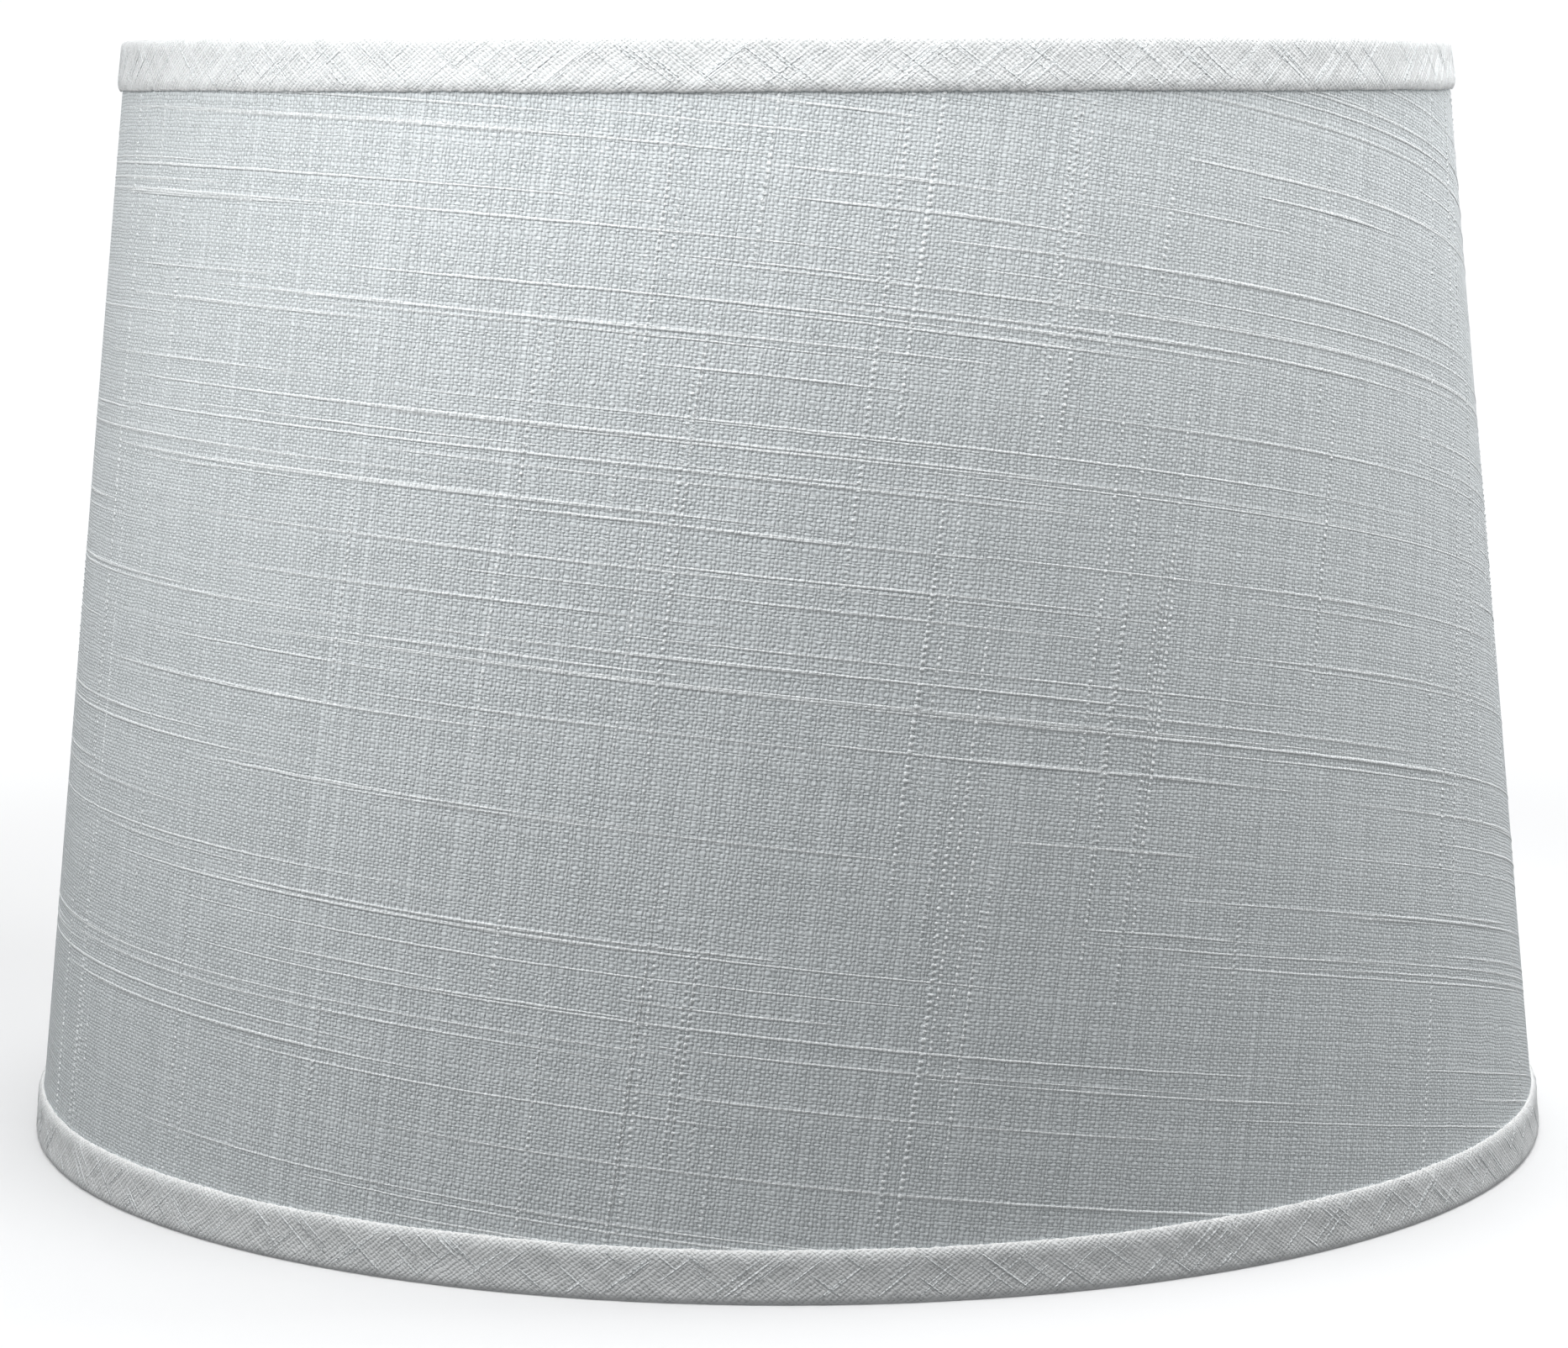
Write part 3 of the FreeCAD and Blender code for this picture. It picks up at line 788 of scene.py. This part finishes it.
def snipped_round_arms(out, depth, turn, rim_radius):
    """Inner side of the top tape, puckered round each arm and snipped open to the lining below it."""
    is_inner = out < -SHEET - 0.1 * MM
    for angle in ARM_ANGLES.values():
        away = (np.degrees(turn) - angle + 180.0) % 360.0 - 180.0
        sideways = np.abs(np.radians(away)) * (rim_radius + WIRE_OFFSET)
        from_wire = np.hypot(sideways, depth - TAPE_ROLL)
        collar = COLLAR_HEIGHT * closeness(from_wire - WIRE_RADIUS, COLLAR_WIDTH)
        gap = SLIT_AT_RIM + SLIT_SPREAD * depth / INNER_LEG
        slit = 1.0 - smooth_step((sideways - gap) / SLIT_EDGE)
        slit = slit * smooth_step((depth - TAPE_ROLL) / SLIT_RISE)
        out = np.where(is_inner, out - collar * (1.0 - slit), out)
        out = np.where(is_inner, out + slit * (GLUED_FLAT - out), out)
    return out


def tape_shape(is_top, phase):
    """How a tape lies, as a function that gives its radius and height.

    The tape is a little uneven, lifted over the seam and lapped on itself. The function takes degrees
    round the axis, distance out of the cloth and depth from the rim.
    """

    def ripples(turn, waves, first_phase):
        """The sum of waves round the rim, each with its own phase."""
        total = 0.0
        for index, (cycles, size) in enumerate(waves):
            total = total + size * np.sin(cycles * turn + phase[first_phase + index])
        return total

    def shape(degrees, out, depth):
        turn = np.radians(degrees)
        is_outer = (out > 0.3 * CLOTH) & (depth > 0.6 * MM)
        over_seam = smooth_step((degrees - (SEAM_START - RAMP_ANGLE)) / RAMP_ANGLE)
        over_seam = over_seam * (1.0 - smooth_step((degrees - SEAM_END) / TAPE_SEAM_FALL))
        end_at = TAPE_LAP_END - TAPE_LAP_SLANT * depth / OUTER_LEG
        own_lap = smooth_step((degrees - (end_at - TAPE_LAP_RISE)) / TAPE_LAP_RISE)
        own_lap = own_lap * (1.0 - smooth_step((degrees - end_at) / TAPE_LAP_FALL))
        outer_share = smooth_step((out + 0.5 * SHEET) / SHEET)
        step_up = TAPE_LAP_HEIGHT * own_lap * smooth_step(depth / (2 * MM))
        lift = outer_share * (LAP_CLIMB * over_seam + step_up)
        puff = ripples(turn, TAPE_PUFFS, 0) * np.sin(math.pi * np.clip(depth / OUTER_LEG, 0, 1))
        tuck = TUCK_HEIGHT * np.sin(TUCK_CYCLES * turn + TUCK_PER_METRE * depth + phase[3])
        out_now = out + lift + np.where(is_outer, puff + tuck, 0.0)
        if is_top:
            out_now = snipped_round_arms(out_now, depth, turn, TOP_RADIUS)
        depth_now = depth + ripples(turn, TAPE_EDGE_WAVES, 4) * closeness(depth - OUTER_LEG, EDGE_REACH)
        z = HEIGHT - depth_now if is_top else depth_now
        return cone_radius(z) + out_now + sheet_waves(turn, z), z

    return shape


def tape_slubs(name, shape, rim_radius, seed):
    """Thick yarns of a tape's two grains, as fine ridges that cross its outer side."""
    own = np.random.default_rng(seed)
    face_out, face_depth = np.array(TAPE_FACE[::-1]).T * MM
    around = np.linspace(0.0, 2 * math.pi, TAPE_SLUB_SIDES, endpoint=False)
    parts = []
    for _ in range(TAPE_SLUBS):
        grain_turn = own.choice([BIAS_WARP_TURN, -(math.pi / 2 - BIAS_WEFT_TURN)])
        ends = np.sort(own.uniform(-0.35, 1.35, 2)).clip(0.0, 1.0)
        width = own.uniform(*TAPE_SLUB_WIDTHS)
        place = own.uniform(0.0, 2 * math.pi) * rim_radius
        if ends[1] - ends[0] < TAPE_SLUB_LEAST:
            continue
        depth = TAPE_SLUB_START + TAPE_SLUB_REACH * np.linspace(ends[0], ends[1], TAPE_SLUB_RINGS)
        taper = TAPE_SLUB_TIP + (1 - TAPE_SLUB_TIP) * rounded_ends(TAPE_SLUB_RINGS)
        across = taper[:, None] * width / 2 * np.cos(around)[None, :]
        x = place - depth[:, None] * math.tan(grain_turn) + across / abs(math.cos(grain_turn))
        out = np.interp(depth, face_depth, face_out)[:, None] + 0.0 * x
        lift = taper[:, None] * width * RIDGE_LIFT * np.sin(around)[None, :]
        degrees = np.degrees(x / rim_radius) % 360.0
        radius, z = shape(degrees, out, depth[:, None] + 0.0 * x)
        points = on_cone(radius + lift, np.radians(degrees), z).reshape(-1, 3)
        cloth = np.stack([x, -depth[:, None] + 0.0 * x], axis=-1).reshape(-1, 2)
        parts.append((points, cloth, tube_faces(TAPE_SLUB_RINGS, TAPE_SLUB_SIDES)))
    return slub_piece(name, parts, bias_slub_linen)


def tape(name, is_top, node, seed):
    """Bias tape folded over a rim, with its slubs, bound round the sheet and the wire."""
    profile = tape_profile()
    rim_radius = TOP_RADIUS if is_top else BOTTOM_RADIUS
    out, depth = profile[:, 0][None, :], profile[:, 1][None, :]
    count = len(profile)
    degrees = ((TAPE_LAP_END + np.arange(TAPE_COLUMNS) * 360.0 / TAPE_COLUMNS) % 360.0)[:, None]
    own = np.random.default_rng(seed)
    shape = tape_shape(is_top, own.uniform(0.0, 2 * math.pi, 12))
    yarn_ends = own.normal(0.0, YARN_END_SIZE, (TAPE_COLUMNS, 1))
    yarn_ends = yarn_ends * closeness(depth - OUTER_LEG, YARN_END_REACH)
    radius, z = shape(degrees, out, depth + yarn_ends)
    points = on_cone(radius, np.radians(degrees) + 0.0 * z, z).reshape(-1, 3)

    steps = np.hypot(*np.diff(profile, axis=0).T)
    across = np.concatenate([[0.0], np.cumsum(steps), [steps.sum() + BIAS_TAPE]])
    column = np.arange(TAPE_COLUMNS)[:, None]
    row = np.arange(count)[None, :]
    corners = [(column, row), (column, row + 1), (column + 1, row + 1), (column + 1, row)]
    if is_top:
        corners.reverse()
    faces, cloth_x, cloth_y = [], [], []
    for at_column, at_row in corners:
        at_column, at_row = (grid.ravel() for grid in np.broadcast_arrays(at_column, at_row))
        faces.append(at_column % TAPE_COLUMNS * count + at_row % count)
        cloth_x.append(at_column * 2 * math.pi / TAPE_COLUMNS * rim_radius)
        cloth_y.append(across[at_row] * (1 if is_top else -1))
    faces = np.stack(faces, axis=-1).tolist()
    cloth = np.stack([np.stack(cloth_x, axis=-1), np.stack(cloth_y, axis=-1)], axis=-1).reshape(-1, 2)
    # Painted highlight along the folded edge, carried to the material as the fold attribute.
    fold_highlight = closeness(depth + 3 * yarn_ends - FOLD_HIGHLIGHT_DEPTH, FOLD_HIGHLIGHT_WIDTH)
    piece = new_piece(name, points, faces, bias_linen, cloth, fold_highlight.ravel())
    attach(piece, "root")
    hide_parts(node)
    slub_ridges = tape_slubs(f"{name}_slubs", shape, rim_radius, seed + 1)


tape("top_bias_tape", True, "top_trim", 31)
tape("bottom_bias_tape", False, "bottom_trim", 47)

# ---------------------------------------------------------------- wire spider

clear_tape = styrene("clear_tape")
for material_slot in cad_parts["seam_tape"].material_slots:
    material_slot.material = clear_tape

for node in WIRE_NODES:
    for material_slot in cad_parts[node].material_slots:
        material_slot.material = nickel_wire


def weld_lumps():
    """Small uneven lumps of weld where the arms' flattened ends meet the underside of the washer."""
    around = np.linspace(0.0, 2 * math.pi, WELD_SIDES, endpoint=False)[None, :]
    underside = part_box("spider_washer")[0][2]
    points, faces = [], []
    for angle in ARM_ANGLES.values():
        for side in (-1, 1):
            size = random.uniform(0.85, 1.15) * MM
            polar = np.linspace(0.08 * math.pi, 0.92 * math.pi, WELD_RINGS)[:, None]
            bumps = 1 + WELD_BUMPS * np.sin(3 * around + 2 * polar + random.uniform(0, 6))
            along = WELD_RADIUS + WELD_STRETCH * size * np.cos(polar) * bumps
            across = side * WELD_OFFSET + size * np.sin(polar) * np.cos(around) * bumps
            down = WELD_FLATNESS * size * np.sin(polar) * np.sin(around) * bumps
            turn = math.radians(angle)
            x = along * math.cos(turn) - across * math.sin(turn)
            y = along * math.sin(turn) + across * math.cos(turn)
            faces += tube_faces(WELD_RINGS, WELD_SIDES, len(points) * WELD_RINGS * WELD_SIDES)
            points.append(np.stack([x, y, underside - WELD_SINK + down], axis=-1).reshape(-1, 3))
    piece = new_piece("weld_lumps", np.concatenate(points), faces, nickel_wire)
    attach(piece, "root")


weld_lumps()

# ---------------------------------------------------------------- stage


def floor():
    """Plain pale floor that glows evenly far from the shade, so it runs into the walls without a line."""
    material, n, shader = new_material("floor_paint")
    place = n.add("ShaderNodeTexCoord").outputs["Object"]
    tone = n.noise(place, 3.0, 3.0)
    paint = n.mix(tone, (0.78, 0.785, 0.79, 1), (0.82, 0.82, 0.825, 1))
    shader.inputs["Roughness"].default_value = 0.85
    distance = n.add("ShaderNodeVectorMath", {0: place}, operation="LENGTH").outputs["Value"]
    glow = n.add("ShaderNodeEmission", {"Color": WALL_COLOUR, "Strength": SEEN_WALL}).outputs[0]
    share = n.ramp(distance, *GLOW_REACH)
    floor_shader = n.add("ShaderNodeMixShader", {0: share, 1: shader.outputs[0], 2: glow}).outputs[0]
    n.tree.links.new(paint, shader.inputs["Base Color"])
    n.tree.links.new(floor_shader, material.node_tree.nodes["Material Output"].inputs["Surface"])
    size = FLOOR_HALF_SIZE
    corners = [(-size, -size, 0.0), (size, -size, 0.0), (size, size, 0.0), (-size, size, 0.0)]
    plane = new_piece("floor", corners, [[0, 1, 2, 3]], material)
    plane.visible_diffuse = False


def softbox(name, place, target, width, height, power):
    """A soft rectangular light at place, facing target."""
    light = bpy.data.lights.new(name, "AREA")
    light.shape = "RECTANGLE"
    light.size = width
    light.size_y = height
    light.energy = power
    lamp = bpy.data.objects.new(name, light)
    lamp.location = place
    towards = np.array(target) - np.array(place)
    lamp.rotation_euler = (
        math.atan2(math.hypot(towards[0], towards[1]), -towards[2]),
        0.0,
        math.atan2(-towards[0], towards[1]),
    )
    lamp.visible_camera = False
    bpy.context.scene.collection.objects.link(lamp)


def camera():
    """The viewing angle of a product shot: just under the top rim's height, tilted slightly down."""
    lens = bpy.data.cameras.new("camera")
    lens.sensor_width = SENSOR_WIDTH
    lens.lens = CAMERA_LENS
    view = bpy.data.objects.new("camera", lens)
    tilt = Matrix.Rotation(CAMERA_TILT, 4, "X")
    roll = Matrix.Rotation(CAMERA_ROLL, 4, "Z")
    view.matrix_world = Matrix.Translation(CAMERA_PLACE) @ tilt @ roll
    bpy.context.scene.collection.objects.link(view)
    bpy.context.scene.camera = view


def sky():
    """Soft light from straight above, the same everywhere on the floor."""
    light = bpy.data.lights.new("sky", "SUN")
    light.energy = SKY_STRENGTH
    light.angle = SKY_ANGLE
    lamp = bpy.data.objects.new("sky", light)
    bpy.context.scene.collection.objects.link(lamp)


def surroundings():
    """A pale room: bright as seen, with less light on the shade from its walls than from its lamps."""
    world = bpy.data.worlds.new("studio")
    world.use_nodes = True
    n = Nodes(world.node_tree)
    background = world.node_tree.nodes["Background"]
    background.inputs["Color"].default_value = WALL_COLOUR
    is_seen = n.add("ShaderNodeLightPath").outputs["Is Camera Ray"]
    strength = n.math("MULTIPLY_ADD", is_seen, SEEN_WALL - WALL_LIGHT, WALL_LIGHT)
    world.node_tree.links.new(strength, background.inputs["Strength"])
    bpy.context.scene.world = world
    bpy.context.scene.view_settings.view_transform = "Standard"


floor()
sky()
for lamp_values in LAMPS:
    softbox(*lamp_values)
surroundings()
camera()
